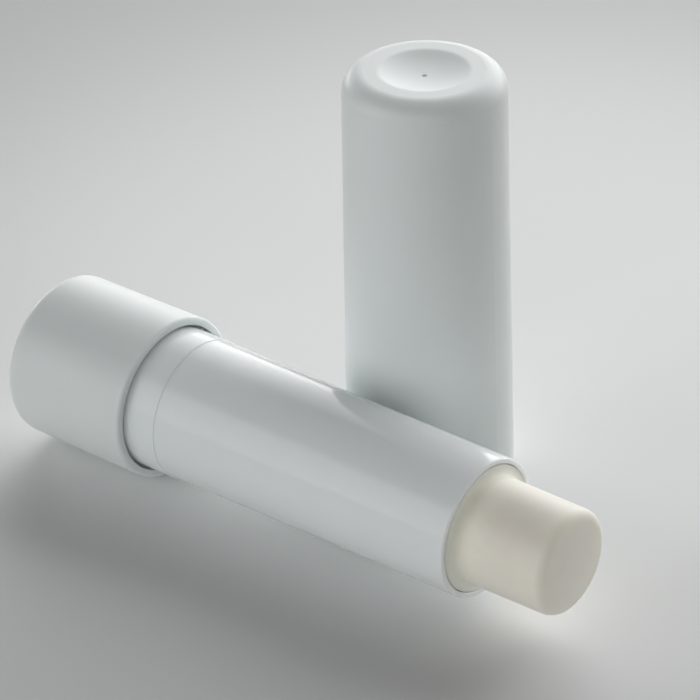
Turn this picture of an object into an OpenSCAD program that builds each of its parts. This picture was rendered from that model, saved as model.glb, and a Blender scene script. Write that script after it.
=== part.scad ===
// Twist-up lip balm stick: the stick lies on its side and its cap stands beside it on its mouth.
// The stick's pieces are drawn along their own axis, from the base's open edge at 0 towards the balm.

/* [Base and cap, outside] */
// Outer diameter of the base's open edge and of the cap's mouth
case_d = 19.0; // [17:0.5:22]
// Length of the base from its closed end to its open edge
base_len = 17.0; // [15:0.5:20]
// How much the base's radius shrinks from the open edge to the closed end
base_draft = 0.08; // [0:0.02:0.16]
// Radius that rounds the base's closed end
base_round = 1.1; // [0.5:0.1:2]
// Height of the cap from its mouth to its top
cap_len = 49.3; // [47:0.5:56]
// How much the cap's radius shrinks from the mouth to the top
cap_draft = 0.60; // [0.3:0.05:0.65]
// Radius that rounds the cap's top edge
cap_round = 2.3; // [1:0.1:2.6]
// Radius that rounds the open edges of base and cap
lip_round = 0.35; // [0.1:0.05:0.4]
// Radius at which the shallow dish in both closed ends starts
dish_r = 5.2; // [3.5:0.1:6]
// Depth of that dish
dish_depth = 0.7; // [0.3:0.1:0.8]
// Radius that rolls the dish's edge over into the flat ring
dish_roll = 1.8; // [1:0.2:3]
// Radius of the gate mark in the middle of each dish
gate_r = 0.32; // [0.2:0.02:0.5]

/* [Walls] */
// Thickness of the base's end wall under the deepest point of its dish
base_floor = 1.2; // [0.8:0.1:1.6]
// Thickness of the cap's top under the deepest point of its dish
cap_roof = 1.1; // [0.8:0.1:1.4]
// Clearance between the cap's inner wall and the barrel's tapered side
cap_air = 0.28; // [0.2:0.02:0.36]
// Height of the band inside the cap's mouth that grips the collar
grip_len = 3.6; // [2:0.2:4]
// Chamfer that leads the collar into the cap's mouth
grip_lead = 0.5; // [0.3:0.05:0.6]
// Room along the axis between the end of the barrel's tail and the base's floor
tail_room = 1.9; // [1.2:0.1:2.4]

/* [Barrel] */
// Length of the barrel that stands out of the base
barrel_out = 43.75; // [40:0.25:45]
// How far the outside of the barrel's mouth lies inside the outer radius of base and cap
barrel_inset = 1.68; // [1.6:0.02:1.9]
// How much the barrel's radius grows from its mouth to the base's edge
barrel_draft = 0.35; // [0.25:0.05:0.45]
// Wall of the barrel at its mouth
mouth_wall = 0.62; // [0.54:0.02:0.8]
// Length of the collar that the cap grips
collar_len = 4.1; // [4.1:0.1:5]
// Height of the fine step at the collar's end
collar_step = 0.08; // [0.04:0.02:0.12]
// Radius that rounds the outside of the barrel's mouth
mouth_round = 0.22; // [0.1:0.02:0.3]
// Chamfer inside the barrel's mouth
mouth_chamfer = 0.14; // [0.08:0.02:0.2]
// Wall of the tail, which turns in the base
tail_wall = 0.75; // [0.65:0.05:0.8]
// Chamfer at the end of the tail
tail_chamfer = 0.35; // [0.2:0.05:0.5]
// Number of ribs along the bore that keep the carrier from turning
rib_count = 4; // [2:1:6]
// Width of one rib
rib_w = 1.0; // [0.6:0.1:1.4]
// Height of one rib above the bore's wall
rib_h = 0.45; // [0.3:0.05:0.5]
// Depth by which a rib is rooted in the bore's wall
rib_root = 0.3; // [0.1:0.05:0.4]
// Distance from the base's edge to the top of the ribs
rib_top = 30.0; // [27:0.5:31]

/* [Snap joint and fits] */
// Distance from the base's edge to the middle of the snap bead
bead_at = 7.5; // [6:0.5:9]
// Height of the snap bead above the base's wall
bead_h = 0.22; // [0.15:0.01:0.28]
// Length of the snap bead along the axis
bead_w = 1.0; // [0.8:0.1:1.4]
// Running clearance on the radius between the base and the barrel's tail
turn_fit = 0.06; // [0.03:0.01:0.09]
// Play along the axis in the snap joint and at the collar's seat
end_play = 0.15; // [0.1:0.05:0.25]
// Open gap on the radius between the base's open edge and the collar
edge_gap = 0.34; // [0.25:0.01:0.45]
// Depth of the seat inside the base's open edge that the collar stands in
seat_depth = 1.3; // [0.9:0.1:1.8]
// Clearance on the radius between the cap's grip band and the collar
grip_fit = 0.05; // [0.03:0.01:0.08]

/* [Screw and carrier] */
// Diameter over the screw's threads
screw_d = 4.6; // [4:0.1:5]
// Distance from the base's edge to the tip of the screw
screw_tip = 34.0; // [31:0.5:36]
// Chamfer at that tip
tip_chamfer = 0.6; // [0.3:0.1:1]
// Running clearance on the radius between the screw and the carrier's nut
nut_fit = 0.06; // [0.03:0.01:0.09]
// Outer diameter of the carrier's nut boss
nut_d = 6.8; // [6.4:0.1:8]
// Gap left between the nut boss and the screw's flange when the balm is wound right down
nut_stop = 0.95; // [0.5:0.05:2]
// Sliding clearance on the radius between the carrier and the bore
slide_fit = 0.15; // [0.08:0.01:0.2]
// Wall of the carrier's cup and skirt
carrier_wall = 0.7; // [0.5:0.05:0.8]
// Depth of the cup that holds the foot of the balm
cup_depth = 5.0; // [4:0.5:6]
// Thickness of the carrier's floor
carrier_floor = 1.2; // [1:0.1:1.6]
// Length of the carrier's skirt below its floor
skirt_len = 12.0; // [10.5:0.5:13]
// Diameter of the screw's flange, which stands on the base's hub
flange_d = 6.4; // [6:0.1:7]
// Thickness of that flange
flange_t = 0.8; // [0.6:0.1:1.2]
// Diameter of the plug that holds the screw in the hub
plug_d = 4.2; // [3.8:0.1:4.4]
// Depth of one flat on the plug
plug_flat = 0.5; // [0.3:0.05:0.7]
// Clearance on the radius between the plug and its socket
plug_fit = 0.03; // [0.02:0.01:0.06]
// Height of the base's hub above its floor
hub_h = 5.4; // [4.5:0.1:5.8]
// Wall of the base's hub
hub_wall = 1.3; // [1:0.1:1.6]
// Thickness of the webs that brace the hub and the nut boss
web_t = 0.8; // [0.6:0.1:1.2]
// Height of the solid ground under the plug's socket
socket_ground = 0.3; // [0.2:0.05:0.6]
// Room under the plug in its socket
plug_room = 0.1; // [0.05:0.05:0.3]

/* [Balm] */
// Length of the balm's full-bore part, from the carrier's floor to the disc at the mouth
balm_len = 28.0; // [25:0.5:28.5]
// Clearance on the radius between the balm and the bore
balm_fit = 0.07; // [0.05:0.01:0.12]
// Gap between the balm and the carrier's cup that it was cast into
cast_gap = 0.03; // [0.02:0.01:0.06]
// Radius that rounds the rim of the balm's disc
disc_round = 0.15; // [0.1:0.05:0.3]
// Width of the disc's ledge between the bore and the foot of the balm's nose
nose_ledge = 1.2; // [0.9:0.1:1.7]
// How much the nose's radius shrinks towards its end
nose_draft = 0.09; // [0:0.01:0.2]
// Length of the nose beyond the disc
nose_len = 11.6; // [10:0.1:12]
// Radius of the soft fillet at the nose's foot
nose_fillet = 1.0; // [0.4:0.1:1.1]
// Radius that rounds the nose's end
nose_round = 1.2; // [0.5:0.1:2.5]
// Rise of the nose's shallow crown
nose_crown = 0.5; // [0.2:0.1:0.9]
// How far the balm winds down from the pose in the photo
wind_down = 12.5; // [11:0.5:12.5]
// Clearance on the radius round the screw in the balm
core_gap = 0.25; // [0.15:0.05:0.5]
// Room beyond the screw's tip in the balm when it is wound right down
core_room = 0.6; // [0.3:0.1:1.5]

/* [Place of the cap] */
// Distance along the stick from the base's edge to the standing cap's axis
cap_along = 21.7; // [12:0.1:32]
// Open gap between the standing cap and the collar's diameter
cap_aside = 0.97; // [0.5:0.01:6]

/* [Hidden] */
$fn = 120;
// Overlap of fused shapes, and the margin of cuts that pass a surface
eps = 0.01;
over = 1;

// Radii along the stick
case_r = case_d / 2;
base_end_r = case_r - base_draft;
cap_top_r = case_r - cap_draft;
mouth_r = case_r - barrel_inset;
foot_r = mouth_r + barrel_draft;
bore_r = mouth_r - mouth_wall;
tail_r = bore_r + tail_wall;
base_bore_r = tail_r + turn_fit;
groove_r = base_bore_r - bead_h - turn_fit;
collar_r = foot_r + collar_step;
carrier_r = bore_r - slide_fit;
cup_r = carrier_r - carrier_wall;
back_r = bore_r - rib_h - slide_fit - carrier_wall;
screw_r = screw_d / 2;
nut_bore_r = screw_r + nut_fit;
plug_r = plug_d / 2;
socket_r = plug_r + plug_fit;
hub_r = socket_r + hub_wall;
nose_r = bore_r - nose_ledge;
nose_end_r = nose_r - nose_draft;
balm_r = bore_r - balm_fit;
// The fillet at the nose's foot ends on the disc
root_fillet = min(nose_fillet, balm_r - disc_round - nose_r);

// Stations along the stick, from the base's open edge
base_end = -base_len;
base_inside = base_end + dish_depth + base_floor;
hub_top = base_inside + hub_h;
flange_top = hub_top + flange_t;
socket_foot = base_inside + socket_ground;
plug_foot = socket_foot + plug_room;
tail_end = base_inside + tail_room;
collar_foot = -seat_depth + end_play;
disc_at = barrel_out;
balm_foot = disc_at - balm_len;
carrier_foot = balm_foot - carrier_floor;
nut_foot = flange_top + nut_stop + wind_down;
skirt_foot = carrier_foot - skirt_len;
nose_end = disc_at + nose_len;
core_top = screw_tip + wind_down + core_room;
slot_top = rib_top + wind_down + end_play;

// The assembly stands on z = 0, centred on its own outline
cap_off = case_r + collar_r + cap_aside;
stage_x = -(base_end + nose_end) / 2;
stage_y = -cap_off / 2;

module cap() color([0.93, 0.94, 0.94]) translate([stage_x + cap_along, stage_y + cap_off, 0]) cap_shell();
module base() color([0.93, 0.94, 0.94]) on_stick() base_shell();
module barrel() color([0.95, 0.96, 0.97]) on_stick() barrel_tube();
module drive_screw() color([0.86, 0.88, 0.9]) on_stick() screw_body();
module carrier() color([0.9, 0.91, 0.92]) on_stick() carrier_body();
module balm() color([0.96, 0.92, 0.85]) on_stick() balm_body();

// Puts a piece that is drawn along z on the lying stick's axis
module on_stick() translate([stage_x, stage_y, case_r]) rotate([0, 90, 0]) children();

// What rounding takes off an outer corner at [r, z]: the corner points outwards and up
module corner_off(r, z, radius) {
  translate([r - radius, z - radius]) difference() {
    square(radius + over);
    circle(radius);
  }
}

// What a concave fillet adds in the corner at [r, z] above a flat face
module fillet_on(r, z, radius) {
  difference() {
    translate([r - eps, z - eps]) square(radius + eps);
    translate([r + radius, z + radius]) circle(radius);
  }
}

// The shallow dish in a closed end at height z, with its edge rolled over into the flat ring
module dish_cut(z) {
  sum_r = (dish_r * dish_r / dish_depth + dish_depth) / 2;
  bowl_r = sum_r - dish_roll;
  meet_r = dish_r * bowl_r / sum_r;
  intersection() {
    translate([0, z - dish_depth + bowl_r]) circle(bowl_r, $fn = 360);
    translate([0, z - dish_depth - over]) square([meet_r, dish_depth + 2 * over]);
  }
  difference() {
    translate([meet_r - eps, z - dish_roll / 2]) square([dish_r - meet_r + eps, dish_roll]);
    translate([dish_r, z - dish_roll]) circle(dish_roll);
  }
}

module gate_mark(z) translate([0, z - dish_depth]) circle(gate_r, $fn = 48);

module ring(r_in, r_out, z0, z1) translate([r_in, z0]) square([r_out - r_in, z1 - z0]);

// Keeps what lies right of the axis
module right_half() difference() {
  children();
  translate([-case_d, -2 * cap_len]) square([case_d, 4 * cap_len]);
}

// Cap: tapered outside, a grip band in the mouth, and a bore that clears the barrel's taper
module cap_shell() {
  rotate_extrude() right_half() difference() {
    polygon([[0, 0], [case_r, 0], [cap_top_r, cap_len], [0, cap_len]]);
    corner_off(cap_top_r, cap_len, cap_round);
    mirror([0, 1]) corner_off(case_r, 0, lip_round);
    dish_cut(cap_len);
    gate_mark(cap_len);
    cap_bore();
  }
}

module cap_bore() {
  roof_at = cap_len - dish_depth - cap_roof;
  foot = foot_r + cap_air;
  top = foot - barrel_draft * roof_at / barrel_out;
  grip_r = collar_r + grip_fit;
  polygon([
    [0, -over],
    [grip_r + grip_lead, -over],
    [grip_r + grip_lead, 0],
    [grip_r, grip_lead],
    [grip_r, grip_len],
    [foot, grip_len + grip_lead],
    [top, roof_at - grip_lead],
    [top - grip_lead, roof_at],
    [0, roof_at]
  ]);
}

// Base: closed cup with a seat for the collar, the bore that the tail turns in, the snap bead and the hub
module base_shell() {
  rotate_extrude() right_half() {
    difference() {
      polygon([[0, base_end], [base_end_r, base_end], [case_r, 0], [0, 0]]);
      corner_off(case_r, 0, lip_round);
      mirror([0, 1]) {
        corner_off(base_end_r, base_len, base_round);
        dish_cut(base_len);
        gate_mark(base_len);
      }
      ring(0, base_bore_r, base_inside, over);
      ring(0, collar_r + edge_gap, -seat_depth, over);
    }
    bead_ring();
  }
  difference() {
    translate([0, 0, base_inside - eps]) union() {
      cylinder(r = hub_r, h = hub_h + eps);
      hub_webs();
    }
    translate([0, 0, socket_foot]) plug_shape(socket_r, hub_h);
  }
}

// The bead's section is a low trapezium with 45 degree flanks
module bead_ring() {
  crest = base_bore_r - bead_h;
  half = bead_w / 2;
  polygon([
    [base_bore_r + eps, -bead_at - half - bead_h],
    [crest, -bead_at - half],
    [crest, -bead_at + half],
    [base_bore_r + eps, -bead_at + half + bead_h]
  ]);
}

// Four webs that end just below the barrel's tail
module hub_webs() {
  for (i = [0 : 3]) {
    rotate([0, 0, 45 + 90 * i]) translate([0, -web_t / 2, 0])
      cube([base_bore_r + eps, web_t, tail_room - end_play]);
  }
}

// Round bar with two flats, for the plug and its socket
module plug_shape(r, h) {
  half = r - plug_flat;
  intersection() {
    cylinder(r = r, h = h);
    translate([-half, -r, 0]) cube([2 * half, 2 * r, h]);
  }
}

// Barrel: tapered tube with its collar, the snap groove in its tail and ribs along its bore
module barrel_tube() {
  rotate_extrude() difference() {
    barrel_section();
    corner_off(mouth_r, barrel_out, mouth_round);
    translate([bore_r, barrel_out]) chamfer_cut(mouth_chamfer);
    translate([tail_r, tail_end]) chamfer_cut(tail_chamfer);
    groove_cut();
  }
  for (i = [0 : rib_count - 1]) {
    rotate([0, 0, 360 * i / rib_count]) rib_bar();
  }
}

module barrel_section() {
  collar_top_r = foot_r - barrel_draft * collar_len / barrel_out;
  ring(bore_r, tail_r, tail_end, collar_foot + eps);
  polygon([
    [bore_r, collar_foot],
    [collar_r, collar_foot],
    [collar_r, 0],
    [collar_top_r + collar_step, collar_len],
    [bore_r, collar_len]
  ]);
  polygon([
    [bore_r, collar_len - eps],
    [collar_top_r, collar_len - eps],
    [mouth_r, barrel_out],
    [bore_r, barrel_out]
  ]);
}

// A square on its corner, whose cut leaves a chamfer
module chamfer_cut(size) rotate([0, 0, 45]) square(size * sqrt(2), center = true);

module groove_cut() {
  half = bead_w / 2 + end_play;
  depth = tail_r - groove_r;
  polygon([
    [tail_r + eps, -bead_at - half - depth],
    [groove_r, -bead_at - half],
    [groove_r, -bead_at + half],
    [tail_r + eps, -bead_at + half + depth]
  ]);
}

// One rib, rooted in the bore's wall
module rib_bar() {
  rib_len = rib_top - tail_end;
  intersection() {
    translate([bore_r - rib_h, -rib_w / 2, tail_end]) cube([rib_h + rib_root, rib_w, rib_len]);
    translate([0, 0, tail_end - over]) cylinder(r = bore_r + rib_root, h = rib_len + 2 * over);
  }
}

// Screw: plug with two flats, flange and shaft over the threads' diameter
module screw_body() {
  translate([0, 0, plug_foot]) plug_shape(plug_r, hub_top - plug_foot + eps);
  translate([0, 0, hub_top]) cylinder(d = flange_d, h = flange_t);
  rotate_extrude() polygon([
    [0, flange_top - eps],
    [screw_r, flange_top - eps],
    [screw_r, screw_tip - tip_chamfer],
    [screw_r - tip_chamfer, screw_tip],
    [0, screw_tip]
  ]);
}

// Slots that let the bore's ribs pass through a piece
module rib_slots(z0, z1) {
  w = rib_w + 2 * slide_fit;
  depth = rib_h + slide_fit;
  for (i = [0 : rib_count - 1]) {
    rotate([0, 0, 360 * i / rib_count]) translate([bore_r - depth, -w / 2, z0])
      cube([depth + over, w, z1 - z0]);
  }
}

// Carrier: cup, floor, guiding skirt and the nut boss braced by webs
module carrier_body() {
  cup_top = balm_foot + cup_depth;
  nut_r = nut_d / 2;
  difference() {
    union() {
      rotate_extrude() {
        ring(cup_r, carrier_r, skirt_foot, cup_top);
        ring(nut_bore_r, carrier_r, carrier_foot, balm_foot);
        ring(nut_bore_r, nut_r, nut_foot, balm_foot);
      }
      for (i = [0 : rib_count - 1]) {
        rotate([0, 0, 360 * (i + 0.5) / rib_count]) translate([nut_r - eps, -web_t / 2, nut_foot + over])
          cube([cup_r - nut_r + 2 * eps, web_t, carrier_foot - nut_foot]);
        rotate([0, 0, 360 * i / rib_count]) slot_back(cup_top);
      }
    }
    rib_slots(skirt_foot - over, cup_top + over);
  }
}

// Thickening behind one slot, so that the cup stays closed there
module slot_back(top) {
  w = rib_w + 2 * slide_fit + 2 * carrier_wall;
  translate([back_r, -w / 2, skirt_foot]) cube([cup_r - back_r + carrier_wall / 2, w, top - skirt_foot]);
}

// Balm: full-bore stick cast round the screw and into the carrier, with the narrower nose on its disc
module balm_body() {
  difference() {
    rotate_extrude() difference() {
      union() {
        ring(0, balm_r, balm_foot, disc_at);
        right_half() nose_section();
        fillet_on(nose_r, disc_at, root_fillet);
      }
      corner_off(balm_r, disc_at, disc_round);
      ring(0, screw_r + core_gap, balm_foot - over, core_top);
    }
    cup_space();
    rib_slots(balm_foot - over, slot_top);
  }
}

// The nose's side, its rounded edge and its shallow crown, each tangent to the next
module nose_section() {
  crown_r = (nose_end_r * nose_end_r / nose_crown + nose_crown) / 2;
  edge_r = nose_end_r - nose_round;
  crown_z = nose_end - crown_r;
  edge_z = crown_z + sqrt(pow(crown_r - nose_round, 2) - edge_r * edge_r);
  meet_r = edge_r * crown_r / (crown_r - nose_round);
  polygon([[0, disc_at - eps], [nose_r, disc_at - eps], [nose_end_r, edge_z], [0, edge_z]]);
  translate([edge_r, edge_z]) circle(nose_round);
  intersection() {
    translate([0, crown_z]) circle(crown_r, $fn = 360);
    translate([0, edge_z - eps]) square([meet_r, nose_end - edge_z + over]);
  }
}

// The room that the carrier's cup takes from the foot of the balm
module cup_space() {
  top = balm_foot + cup_depth + cast_gap;
  w = rib_w + 2 * slide_fit + 2 * carrier_wall + 2 * cast_gap;
  foot = balm_foot - over;
  rotate_extrude() ring(cup_r - cast_gap, bore_r + over, foot, top);
  for (i = [0 : rib_count - 1]) {
    rotate([0, 0, 360 * i / rib_count]) translate([back_r - cast_gap, -w / 2, foot])
      cube([bore_r, w, top - foot]);
  }
}

cap();
base();
barrel();
drive_screw();
carrier();
balm();
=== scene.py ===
# Looks of a twist-up lip balm stick with its cap taken off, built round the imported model
import math

import bmesh
import bpy
from mathutils import Matrix, Vector


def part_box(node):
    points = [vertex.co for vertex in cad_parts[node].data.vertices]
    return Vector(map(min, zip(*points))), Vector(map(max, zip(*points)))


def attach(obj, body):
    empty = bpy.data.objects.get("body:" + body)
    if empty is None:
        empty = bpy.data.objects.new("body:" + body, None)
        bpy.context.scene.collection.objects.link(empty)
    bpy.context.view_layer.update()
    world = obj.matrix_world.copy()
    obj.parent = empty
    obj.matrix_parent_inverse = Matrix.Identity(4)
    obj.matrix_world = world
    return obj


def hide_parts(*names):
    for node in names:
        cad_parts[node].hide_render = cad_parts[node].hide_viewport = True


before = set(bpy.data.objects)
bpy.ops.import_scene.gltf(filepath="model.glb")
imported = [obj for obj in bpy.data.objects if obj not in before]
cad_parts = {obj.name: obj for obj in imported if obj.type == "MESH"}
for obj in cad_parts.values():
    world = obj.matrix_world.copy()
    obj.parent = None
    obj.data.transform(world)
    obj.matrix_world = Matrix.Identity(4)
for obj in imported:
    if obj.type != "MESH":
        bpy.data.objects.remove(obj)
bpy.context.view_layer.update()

bl_info = {
    "name": "Lip Balm Stick",
    "version": (1, 0, 0),
    "blender": (4, 5, 0),
    "location": "View3D > Sidebar > Lip Balm",
    "description": "Finishes the moulded pieces, cuts the screw thread and sets the studio",
    "category": "Object",
}

MM = 0.001


def middle(node):
    """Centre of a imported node's box, which lies on the axis of a turned piece."""
    low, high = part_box(node)
    return (low + high) / 2


STICK = middle("barrel")
CAP = middle("cap")
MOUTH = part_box("barrel")[1].x
SCREW_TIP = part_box("drive_screw")[1].x
SKIRT_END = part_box("carrier")[0].x
# Points of a skin that are closer than this are one
WELD = 0.001 * MM


# Node maths

class Val:
    """A socket or number in a Python expression, whose operators add Math nodes."""

    def __init__(self, nodes, source):
        self.nodes = nodes
        self.source = source

    def _math(self, operation, *others):
        settings = {"operation": operation}
        return self.nodes.node("ShaderNodeMath", settings, self, *others)

    def __add__(self, other):
        return self._math("ADD", other)

    def __sub__(self, other):
        return self._math("SUBTRACT", other)

    def __rsub__(self, other):
        return Val(self.nodes, other)._math("SUBTRACT", self)

    def __mul__(self, other):
        return self._math("MULTIPLY", other)

    def __truediv__(self, other):
        return self._math("DIVIDE", other)

    def __lt__(self, other):
        return self._math("LESS_THAN", other)

    def __gt__(self, other):
        return self._math("GREATER_THAN", other)

    def __abs__(self):
        return self._math("ABSOLUTE")

    __radd__ = __add__
    __rmul__ = __mul__

    def whole(self):
        return self._math("ROUND")

    def part(self):
        """What is left over above the next whole number below."""
        return self._math("FRACT")

    def sine(self):
        return self._math("SINE")

    def cosine(self):
        return self._math("COSINE")

    def arcsine(self):
        return self._math("ARCSINE")

    def turned(self, ahead):
        """Angle of a point this far aside and that far ahead."""
        return self._math("ARCTAN2", ahead)

    def ramp(self, low, high, kind="LINEAR"):
        """0 at low and 1 at high, straight between them and level beyond."""
        settings = {"interpolation_type": kind}
        return self.nodes.node("ShaderNodeMapRange", settings, self, low, high, 0.0, 1.0)

    def smooth(self, low, high):
        """As ramp, with soft ends."""
        return self.ramp(low, high, "SMOOTHSTEP")


class Nodes:
    """A new, empty node tree and the one way that nodes are added to it."""

    def __init__(self, tree, output):
        self.tree = tree
        tree.nodes.clear()
        self.output = tree.nodes.new(output)

    def node(self, kind, settings=None, *values, out=None, **named):
        """Adds a node. Settings come first, then its sockets by place or by identifier."""
        new = self.tree.nodes.new(kind)
        for key, value in (settings or {}).items():
            setattr(new, key, value)
        for place, value in enumerate(values):
            self.feed(new.inputs[place], value)
        for name, value in named.items():
            self.feed(self.socket(new.inputs, name), value)
        return Val(self, self.socket(new.outputs, out) if out else new.outputs[0])

    def socket(self, sockets, name):
        """The socket with this identifier, in which an underscore may stand for a space."""
        name = name.replace("_", " ")
        return next(each for each in sockets if each.identifier.replace("_", " ") == name)

    def feed(self, socket, value):
        if isinstance(value, Val):
            value = value.source
        if isinstance(value, bpy.types.NodeSocket):
            self.tree.links.new(value, socket)
        elif value is not None:
            socket.default_value = value

    def toward(self, where, axis):
        """How far a vector reaches along a fixed axis."""
        settings = {"operation": "DOT_PRODUCT"}
        return self.node("ShaderNodeVectorMath", settings, where, tuple(axis), out="Value")

    def length(self, where):
        return self.node("ShaderNodeVectorMath", {"operation": "LENGTH"}, where, out="Value")

    def finish(self, result):
        self.tree.links.new(result.source, self.output.inputs[0])


class Shader(Nodes):
    """The nodes of a material or of the world."""

    def place(self, centre=(0, 0, 0)):
        """Object coordinates about a point of the frame."""
        where = self.node("ShaderNodeTexCoord", out="Object")
        return self.node("ShaderNodeVectorMath", {"operation": "SUBTRACT"}, where, tuple(centre))

    def noise(self, where, scale, detail=2.0, rough=0.5):
        return self.node("ShaderNodeTexNoise", {"noise_dimensions": "3D"},
                         Vector=where, Scale=scale, Detail=detail, Roughness=rough)

    def mix(self, factor, first, second):
        """Mix of two colours."""
        return self.node("ShaderNodeMix", {"data_type": "RGBA"}, out="Result_Color",
                         Factor_Float=factor, A_Color=first, B_Color=second)

    def surface(self, colour, roughness, normal=None, **fixed):
        """Principled surface: first what varies, then the sockets that are only set."""
        return self.node("ShaderNodeBsdfPrincipled", None, Base_Color=colour,
                         Roughness=roughness, Normal=normal, **fixed)


def new_material(name):
    material = bpy.data.materials.new(name)
    material.use_nodes = True
    return material, Shader(material.node_tree, "ShaderNodeOutputMaterial")


def rgba(colour):
    return (*colour, 1.0)


def shaded(colour, share):
    return rgba([share * part for part in colour])


# Finishes

# Cells of each pattern in a metre
FLOW_CLOUDS, HANDLING, MOULD_GRAIN = 90.0, 700.0, 5200.0
WAX_CLOUDS, WAX_DIMPLES = 160.0, 620.0
PAPER_GRAIN = 3000.0
# How far light soaks into the outer walls, the inner pieces and the wax
OUTER_SOAK, INNER_SOAK, WAX_SOAK = 0.6 * MM, 1.0 * MM, 0.9 * MM
# Share of the plastic's colour that is left in a flow cloud
CLOUD_SHADE = 0.985
# The balm's cream at the mouth is yellower, as the real balm is there, and painted lighter
# against the shade of the mouth. It is full this far behind the mouth, and gone this far outside
# it
ROOT_FULL, ROOT_GONE = 0.5 * MM, 4.5 * MM


def plastic(name, colour, roughness, centre, grain, shine, soak):
    """Moulded plastic: faint flow clouds, the mould's grain, and light that soaks in."""
    material, sh = new_material(name)
    where = sh.place(centre)
    cloud = sh.noise(where, FLOW_CLOUDS, 3.0, 0.6).smooth(0.3, 0.7)
    handled = sh.noise(where, HANDLING, 1.0, 0.5)
    spark = sh.noise(where, MOULD_GRAIN, 2.0, 0.5)
    relief = sh.node("ShaderNodeBump", None,
                     Strength=grain, Distance=0.01 * MM, Height=spark)
    sh.finish(sh.surface(
        sh.mix(cloud, shaded(colour, CLOUD_SHADE), rgba(colour)),
        roughness - 0.02 + 0.04 * handled, relief,
        IOR=1.49, Specular_IOR_Level=shine, Subsurface_Weight=1.0,
        Subsurface_Radius=(1.0, 1.0, 1.0), Subsurface_Scale=soak))
    return material


def wax(name, colour, root_colour_and_painted_light, centre):
    """Cast balm: cloudy cream, yellower towards the mouth and painted lighter there against the
    mouth's shade, with a soft uneven skin.
    """
    material, sh = new_material(name)
    where = sh.place(centre)
    cloud = sh.noise(where, WAX_CLOUDS, 4.0, 0.6).smooth(0.32, 0.68)
    dimple = sh.noise(where, WAX_DIMPLES, 3.0, 0.55)
    along = sh.toward(where, (1, 0, 0))
    mouth = MOUTH - centre.x
    # Painted light: the cream is made lighter towards the mouth, where the mouth shades it, on
    # top of its real yellower tone there
    root = along.smooth(mouth + ROOT_GONE, mouth - ROOT_FULL)
    relief = sh.node("ShaderNodeBump", None,
                     Strength=0.25, Distance=0.04 * MM, Height=dimple)
    sh.finish(sh.surface(
        sh.mix(0.25 * cloud + 0.75 * root, rgba(colour), rgba(root_colour_and_painted_light)),
        0.42 + 0.08 * cloud, relief,
        IOR=1.44, Specular_IOR_Level=0.4, Subsurface_Weight=1.0,
        Subsurface_Radius=(1.0, 0.92, 0.8), Subsurface_Scale=WAX_SOAK))
    return material


def dress(node, material):
    """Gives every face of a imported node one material."""
    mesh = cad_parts[node].data
    mesh.materials.clear()
    mesh.materials.append(material)


class FinishSettings(bpy.types.PropertyGroup):
    case_colour: bpy.props.FloatVectorProperty(
        name="Case colour", description="Colour of the satin cap and base",
        subtype="COLOR", size=3, default=(0.77, 0.81, 0.805))
    barrel_colour: bpy.props.FloatVectorProperty(
        name="Barrel colour", description="Colour of the glossier barrel",
        subtype="COLOR", size=3, default=(0.83, 0.87, 0.87))
    drive_colour: bpy.props.FloatVectorProperty(
        name="Drive colour", description="Colour of the screw and the carrier",
        subtype="COLOR", size=3, default=(0.78, 0.79, 0.78))
    balm_colour: bpy.props.FloatVectorProperty(
        name="Balm colour", description="Cream of the balm's nose",
        subtype="COLOR", size=3, default=(0.85, 0.815, 0.74))
    # Yellower cream at the mouth, also painted lighter against the shade there
    root_colour_and_painted_light: bpy.props.FloatVectorProperty(
        name="Root colour", description="Deeper cream of the balm at the mouth",
        subtype="COLOR", size=3, default=(0.96, 0.93, 0.81))
    satin: bpy.props.FloatProperty(
        name="Satin", description="Roughness of the cap and base",
        subtype="FACTOR", default=0.4, min=0.0, max=1.0)
    gloss: bpy.props.FloatProperty(
        name="Gloss", description="Roughness of the barrel",
        subtype="FACTOR", default=0.12, min=0.0, max=1.0)


class BALM_OT_finish_case(bpy.types.Operator):
    """Gives the cap and the base their satin plastic"""
    bl_idname = "balm.finish_case"
    bl_label = "Finish the cap and base"

    def execute(self, context):
        finish = context.scene.balm_finish
        for node, centre in (("cap", CAP), ("base", STICK)):
            dress(node, plastic(f"satin_{node}", finish.case_colour, finish.satin, centre,
                                grain=0.15, shine=0.36, soak=OUTER_SOAK))
        return {"FINISHED"}


class BALM_OT_finish_barrel(bpy.types.Operator):
    """Gives the barrel its glossier plastic"""
    bl_idname = "balm.finish_barrel"
    bl_label = "Finish the barrel"

    def execute(self, context):
        finish = context.scene.balm_finish
        dress("barrel", plastic("gloss_barrel", finish.barrel_colour, finish.gloss, STICK,
                                grain=0.03, shine=0.3, soak=OUTER_SOAK))
        return {"FINISHED"}


class BALM_OT_finish_balm(bpy.types.Operator):
    """Gives the cast balm its cream wax"""
    bl_idname = "balm.finish_balm"
    bl_label = "Finish the balm"

    def execute(self, context):
        finish = context.scene.balm_finish
        dress("balm", wax("cream_wax", finish.balm_colour, finish.root_colour_and_painted_light, STICK))
        return {"FINISHED"}


# The screw drive

# From the screw's flange to its tip, and how deep the threaded skin starts in the flange
SHAFT_LENGTH = 42.9 * MM
SUNK = 0.3 * MM
# Where the nut's thread starts, from the end of the carrier's skirt, and how long it is
NUT_START, NUT_LENGTH = 2.5 * MM, 7 * MM
# Depth to which the nut's skin is sunk in the boss, behind its ridges and at its back
NUT_PLAY, NUT_BACK = 0.01 * MM, 0.3 * MM
RUN_OUT = 1.2 * MM
COLUMNS = 65

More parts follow.
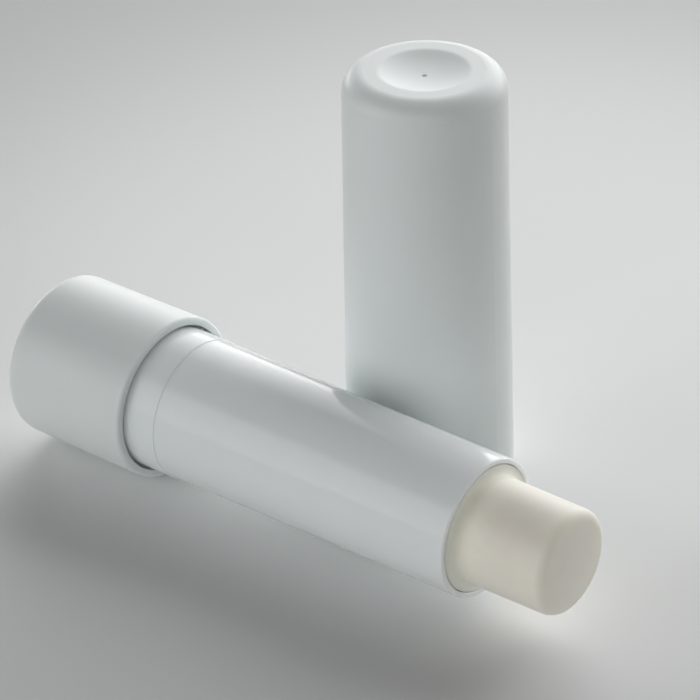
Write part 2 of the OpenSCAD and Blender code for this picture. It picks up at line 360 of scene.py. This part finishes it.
THREAD_INPUTS = (
    ("Start", "NodeSocketVector", "Where the thread's first end lies on its axis"),
    ("Length", "NodeSocketFloat", "Length along the axis"),
    ("Root Radius", "NodeSocketFloat", "Radius between the ridges"),
    ("Ridge Height", "NodeSocketFloat", "Height of a ridge, below zero if it points inwards"),
    ("Back Radius", "NodeSocketFloat", "Radius of the plain side that closes it, or zero"),
    ("Lead", "NodeSocketFloat", "Travel along the axis in one turn"),
    ("Starts", "NodeSocketInt", "Number of ridges side by side"),
    ("Shift", "NodeSocketFloat", "Part of a pitch by which the ridges are moved"),
    ("Foot Width", "NodeSocketFloat", "Share of the pitch that a ridge's foot takes"),
    ("Crest Width", "NodeSocketFloat", "Share of the pitch that its crest takes"),
    ("Run Out", "NodeSocketFloat", "Length over which the ridges fade at both ends"),
    ("Rows", "NodeSocketInt", "Points along the axis"),
    ("Columns", "NodeSocketInt", "Points round the axis"),
    ("Material", "NodeSocketMaterial", "Finish"),
)


def thread_tree():
    """Left-hand thread along X: one closed skin whose radius follows the ridges' rule."""
    tree = bpy.data.node_groups.new("thread", "GeometryNodeTree")
    tree.interface.new_socket("Geometry", in_out="OUTPUT", socket_type="NodeSocketGeometry")
    for name, kind, note in THREAD_INPUTS:
        tree.interface.new_socket(name, in_out="INPUT", socket_type=kind, description=note)
    g = Nodes(tree, "NodeGroupOutput")
    given = g.node("NodeGroupInput").source.node.outputs
    asked = {name: Val(g, given[name]) for name, _, _ in THREAD_INPUTS}

    sheet = g.node("GeometryNodeMeshGrid", None, 1.0, 1.0, asked["Rows"], asked["Columns"])
    where = g.node("GeometryNodeInputPosition")
    last = asked["Rows"] - 1
    row = ((g.toward(where, (1, 0, 0)) + 0.5) * last).whole()
    turn = (g.toward(where, (0, 1, 0)) + 0.5) * math.tau
    # The first row and the last two lie on the back radius, and close the skin
    body = (row > 0.5) * (row < last - 1.5)
    along = (row - 1).ramp(0.0, last - 3) * (row < last - 0.5) * asked["Length"]
    turns = along / asked["Lead"] + turn / math.tau
    phase = (asked["Starts"] * turns + asked["Shift"]).part()
    off_crest = abs(2 * phase - 1)
    ridge = off_crest.ramp(asked["Foot Width"], asked["Crest Width"])
    left = asked["Length"] - along
    fade = along.smooth(0.0, asked["Run Out"]) * left.smooth(0.0, asked["Run Out"])
    radius = (body * (asked["Root Radius"] + asked["Ridge Height"] * ridge * fade)
              + (1 - body) * asked["Back Radius"])
    place = g.node("ShaderNodeCombineXYZ", None,
                   along, radius * turn.cosine(), radius * turn.sine())
    there = g.node("ShaderNodeVectorMath", {"operation": "ADD"}, place, asked["Start"])
    skin = g.node("GeometryNodeSetPosition", None, sheet, Position=there)
    skin = g.node("GeometryNodeMergeByDistance", None, skin, Distance=WELD)
    skin = g.node("GeometryNodeSetShadeSmooth", None, skin)
    skin = g.node("GeometryNodeRealizeInstances", None, skin)
    g.finish(g.node("GeometryNodeSetMaterial", None, skin, Material=asked["Material"]))
    return tree


def grown(name, tree, **sizes):
    """A plain mesh object grown by a node tree with these inputs."""
    seed = bpy.data.objects.new("seed", bpy.data.meshes.new("seed"))
    bpy.context.scene.collection.objects.link(seed)
    modifier = seed.modifiers.new("grow", "NODES")
    modifier.node_group = tree
    for item in tree.interface.items_tree:
        if item.in_out == "INPUT":
            modifier[item.identifier] = sizes[item.name.lower().replace(" ", "_")]
    ready = seed.evaluated_get(bpy.context.evaluated_depsgraph_get())
    mesh = bpy.data.meshes.new_from_object(ready)
    mesh.name = name
    seed.modifiers.clear()
    bpy.data.objects.remove(seed)
    close_skin(mesh)
    piece = bpy.data.objects.new(name, mesh)
    bpy.context.scene.collection.objects.link(piece)
    return piece


def close_skin(mesh):
    """Closes a skin's seam and poles, drops what no face uses, and turns the faces outwards."""
    work = bmesh.new()
    work.from_mesh(mesh)
    bmesh.ops.remove_doubles(work, verts=work.verts, dist=WELD)
    bmesh.ops.dissolve_degenerate(work, edges=work.edges, dist=WELD / 2)
    loose = [edge for edge in work.edges if not edge.link_faces]
    bmesh.ops.delete(work, geom=loose, context="EDGES")
    alone = [point for point in work.verts if not point.link_edges]
    bmesh.ops.delete(work, geom=alone, context="VERTS")
    bmesh.ops.recalc_face_normals(work, faces=work.faces)
    open_edges = [edge for edge in work.edges if len(edge.link_faces) != 2]
    work.to_mesh(mesh)
    work.free()
    if open_edges:
        raise RuntimeError(f"{mesh.name}: {len(open_edges)} edges of its skin are open")


def add_foot(piece, node, cut):
    """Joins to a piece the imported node's end below a cut across X, closed there."""
    work = bmesh.new()
    work.from_mesh(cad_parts[node].data)
    bmesh.ops.remove_doubles(work, verts=work.verts, dist=WELD / 10)
    everything = work.verts[:] + work.edges[:] + work.faces[:]
    bmesh.ops.bisect_plane(work, geom=everything, plane_co=(cut, 0, 0), plane_no=(1, 0, 0),
                           clear_outer=True)
    open_edges = [edge for edge in work.edges if len(edge.link_faces) == 1]
    bmesh.ops.holes_fill(work, edges=open_edges, sides=0)
    bmesh.ops.triangulate(work, faces=[face for face in work.faces if len(face.verts) > 4])
    for face in work.faces:
        face.smooth = False
    work.from_mesh(piece.data)
    work.to_mesh(piece.data)
    work.free()


class DriveSettings(bpy.types.PropertyGroup):
    lead: bpy.props.FloatProperty(
        name="Lead", description="Travel of the balm in one turn of the base",
        default=5 * MM, unit="LENGTH")
    starts: bpy.props.IntProperty(
        name="Starts", description="Number of ridges side by side on the screw", default=2, min=1)
    crest_radius: bpy.props.FloatProperty(
        name="Crest radius", description="Radius over the screw's ridges",
        default=2.3 * MM, unit="LENGTH")
    ridge: bpy.props.FloatProperty(
        name="Ridge", description="Height of a ridge on the screw or in the nut",
        default=0.55 * MM, unit="LENGTH")
    play: bpy.props.FloatProperty(
        name="Play", description="Room between the screw's ridges and the nut's bore",
        default=0.06 * MM, unit="LENGTH")


class BALM_OT_make_drive(bpy.types.Operator):
    """Cuts the thread on the screw and in the carrier's nut"""
    bl_idname = "balm.make_drive"
    bl_label = "Make the screw drive"

    def execute(self, context):
        drive = context.scene.balm_drive
        colour = context.scene.balm_finish.drive_colour
        screw_plastic = plastic("natural_screw", colour, 0.3, STICK,
                                grain=0.05, shine=0.4, soak=INNER_SOAK)
        carrier_plastic = plastic("white_carrier", colour, 0.34, STICK,
                                  grain=0.1, shine=0.4, soak=INNER_SOAK)
        tree = thread_tree()
        shared = {"lead": drive.lead, "starts": drive.starts,
                  "run_out": RUN_OUT, "columns": COLUMNS}

        flange = SCREW_TIP - SHAFT_LENGTH
        foot = flange - SUNK
        screw = grown(
            "drive_screw_thread", tree, start=(foot, STICK.y, STICK.z),
            length=SHAFT_LENGTH + SUNK, root_radius=drive.crest_radius - drive.ridge,
            ridge_height=drive.ridge, back_radius=0.0, shift=self.shift(drive, foot, 0.0),
            foot_width=0.50, crest_width=0.30, rows=360, material=screw_plastic, **shared)
        add_foot(screw, "drive_screw", flange - 10 * WELD)
        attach(screw, "base")
        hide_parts("drive_screw")

        start = SKIRT_END + NUT_START
        bore = drive.crest_radius + drive.play
        nut = grown(
            "carrier_nut_thread", tree, start=(start, STICK.y, STICK.z),
            length=NUT_LENGTH, root_radius=bore - NUT_PLAY, ridge_height=-drive.ridge,
            back_radius=bore + NUT_BACK, shift=self.shift(drive, start, 0.5),
            foot_width=0.52, crest_width=0.30, rows=72, material=carrier_plastic, **shared)
        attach(nut, "balm")
        dress("carrier", carrier_plastic)
        return {"FINISHED"}

    def shift(self, drive, start, share):
        """Keeps two threads in step wherever they start: a pitch's share at the middle."""
        return (drive.starts * (start - STICK.x) / drive.lead + share) % 1.0


# The studio

# Soft boxes round the object. The first six numbers are degrees: turn to the right from the
# camera's heading, half width, width of the fading edge, height above the floor, half height
# and height of the fading edge. The last is the strength.
SOFT_BOXES = {
    "window": (30, 12, 48, 18, 29, 5, 3.85),
    "left_fill": (-108, 18, 14, 16, 18, 9, 1.95),
    "front_fill": (-176, 20, 25, 20, 11, 13, 1.27),
    "right_fill": (104, 12, 14, 18, 12, 12, 0.5),
    "low_back": (-31, 3, 14, 2, 6, 9, 5.9),
}
# Middle of the pool of light painted into the floor's colour, to the right of the cap's foot and
# away from the camera
PAINTED_POOL_RIGHT, PAINTED_POOL_AWAY = 10.5 * MM, 38 * MM
# The most that the painted falloff of light darkens the floor's colour, and how late it does so
PAINTED_FALLOFF_LIMIT, PAINTED_FALLOFF_DELAY = 0.5, 0.40
FLOOR_HALF = 3.0
WALL_LIGHT = 0.7


class StudioSettings(bpy.types.PropertyGroup):
    floor_colour: bpy.props.FloatVectorProperty(
        name="Floor colour", description="Colour of the plain floor",
        subtype="COLOR", size=3, default=(0.918, 0.932, 0.928))
    # Size of the pool of light painted into the floor's colour
    pool: bpy.props.FloatProperty(
        name="Pale pool", description="Distance over which the floor's colour fades by 36 %",
        default=100 * MM, unit="LENGTH")
    light: bpy.props.FloatProperty(
        name="Light", description="Strength of all the soft boxes", default=1.0, min=0.0)
    lens: bpy.props.FloatProperty(
        name="Lens", description="Focal length on a 36 mm sensor", default=180.0, unit="CAMERA")
    reach: bpy.props.FloatProperty(
        name="Reach", description="Level distance from the cap's axis to the camera",
        default=333.964 * MM, unit="LENGTH")
    height: bpy.props.FloatProperty(
        name="Height", description="Height of the camera above the floor",
        default=216.76 * MM, unit="LENGTH")
    turn: bpy.props.FloatProperty(
        name="Turn", description="Direction of the camera round the cap's axis",
        default=math.radians(38.107), subtype="ANGLE")
    pan: bpy.props.FloatProperty(
        name="Pan", description="How far the camera looks right of the cap's axis",
        default=-0.0263, subtype="ANGLE")
    tilt: bpy.props.FloatProperty(
        name="Tilt", description="How far the camera looks down", default=0.5442, subtype="ANGLE")
    roll: bpy.props.FloatProperty(
        name="Roll", description="How far the camera leans to its right",
        default=0.0293, subtype="ANGLE")


def headings(studio):
    """Level directions to the camera's right and straight away from it."""
    spin = Matrix.Rotation(studio.turn - studio.pan, 3, "Z")
    return spin @ Vector((1, 0, 0)), spin @ Vector((0, 1, 0))


class BALM_OT_set_studio(bpy.types.Operator):
    """Makes the floor, the soft light and the camera"""
    bl_idname = "balm.set_studio"
    bl_label = "Set the studio"

    def execute(self, context):
        studio = context.scene.balm_studio
        self.floor(context.scene, studio)
        self.camera(context.scene, studio)
        self.world(context.scene, studio)
        context.scene.view_settings.view_transform = "Standard"
        return {"FINISHED"}

    def floor(self, scene, studio):
        """Pale paper whose colour darkens away from the object: a painted pool of light."""
        corners = [(x * FLOOR_HALF, y * FLOOR_HALF, 0)
                   for x, y in ((-1, -1), (1, -1), (1, 1), (-1, 1))]
        mesh = bpy.data.meshes.new("floor")
        mesh.from_pydata(corners, [], [(0, 1, 2, 3)])
        floor = bpy.data.objects.new("floor", mesh)
        scene.collection.objects.link(floor)
        material, sh = new_material("floor_paper")
        right, away = headings(studio)
        grain = sh.noise(sh.place(), PAPER_GRAIN, 2.0, 0.5)
        # Painted light: the floor's colour darkens with distance from a point near the object, as
        # the soft boxes' light would fall off
        pool = Vector((CAP.x, CAP.y, 0)) + PAINTED_POOL_RIGHT * right + PAINTED_POOL_AWAY * away
        far = sh.length(sh.place(pool)) / studio.pool
        fourth = far * far * far * far
        fade = PAINTED_FALLOFF_LIMIT * fourth / (fourth + PAINTED_FALLOFF_DELAY)
        painted_light_tint = sh.mix(fade, rgba(studio.floor_colour), rgba((0, 0, 0)))
        sh.finish(sh.surface(painted_light_tint, 0.5 + 0.1 * grain, Specular_IOR_Level=0.3))
        mesh.materials.append(material)

    def camera(self, scene, studio):
        data = bpy.data.cameras.new("camera")
        data.sensor_width = 36.0
        data.lens = studio.lens
        data.clip_start = 0.01
        data.clip_end = 20.0
        camera = bpy.data.objects.new("camera", data)
        scene.collection.objects.link(camera)
        back = Matrix.Rotation(studio.turn, 4, "Z") @ Vector((0, -studio.reach, 0))
        stand = Vector((CAP.x, CAP.y, 0)) + back + Vector((0, 0, studio.height))
        look = (Matrix.Rotation(studio.turn - studio.pan, 4, "Z")
                @ Matrix.Rotation(math.pi / 2 - studio.tilt, 4, "X")
                @ Matrix.Rotation(-studio.roll, 4, "Z"))
        camera.matrix_world = Matrix.Translation(stand) @ look
        scene.camera = camera

    def world(self, scene, studio):
        """Soft boxes in an unlit room. The camera itself sees plain pale walls."""
        world = bpy.data.worlds.new("studio")
        world.use_nodes = True
        scene.world = world
        sh = Shader(world.node_tree, "ShaderNodeOutputWorld")
        ray = sh.node("ShaderNodeTexCoord", out="Generated")
        right, away = headings(studio)
        rise = sh.toward(ray, (0, 0, 1)).arcsine()
        light = 0.0
        for *angles, strength in SOFT_BOXES.values():
            turn, wide, side_edge, height, tall, top_edge = map(math.radians, angles)
            ahead = sh.toward(ray, math.sin(turn) * right + math.cos(turn) * away)
            aside = sh.toward(ray, math.cos(turn) * right - math.sin(turn) * away)
            across = abs(aside).turned(ahead)
            width = across.smooth(wide + side_edge, wide)
            tallness = abs(rise - height).smooth(tall + top_edge, tall)
            light = studio.light * strength * width * tallness + light
        seen = sh.node("ShaderNodeLightPath", out="Is Camera Ray")
        boxes = sh.node("ShaderNodeBackground", None, Color=rgba((1, 1, 1)), Strength=light)
        walls = sh.node("ShaderNodeBackground", None,
                        Color=rgba(studio.floor_colour), Strength=WALL_LIGHT)
        sh.finish(sh.node("ShaderNodeMixShader", None, seen, boxes, walls))


class BALM_PT_panel(bpy.types.Panel):
    """Lists what the builder makes"""
    bl_label = "Lip Balm Stick"
    bl_idname = "BALM_PT_panel"
    bl_space_type = "VIEW_3D"
    bl_region_type = "UI"
    bl_category = "Lip Balm"

    def draw(self, context):
        for operator in OPERATORS:
            self.layout.operator(operator.bl_idname)


OPERATORS = (BALM_OT_finish_case, BALM_OT_finish_barrel, BALM_OT_finish_balm,
             BALM_OT_make_drive, BALM_OT_set_studio)
CLASSES = (FinishSettings, DriveSettings, StudioSettings, *OPERATORS, BALM_PT_panel)


def register():
    for each in CLASSES:
        bpy.utils.register_class(each)
    bpy.types.Scene.balm_finish = bpy.props.PointerProperty(type=FinishSettings)
    bpy.types.Scene.balm_drive = bpy.props.PointerProperty(type=DriveSettings)
    bpy.types.Scene.balm_studio = bpy.props.PointerProperty(type=StudioSettings)


def unregister():
    del bpy.types.Scene.balm_finish
    del bpy.types.Scene.balm_drive
    del bpy.types.Scene.balm_studio
    for each in reversed(CLASSES):
        bpy.utils.unregister_class(each)


def main():
    register()
    bpy.ops.balm.finish_case()
    bpy.ops.balm.finish_barrel()
    bpy.ops.balm.finish_balm()
    bpy.ops.balm.make_drive()
    bpy.ops.balm.set_studio()


if __name__ == "__main__":
    main()
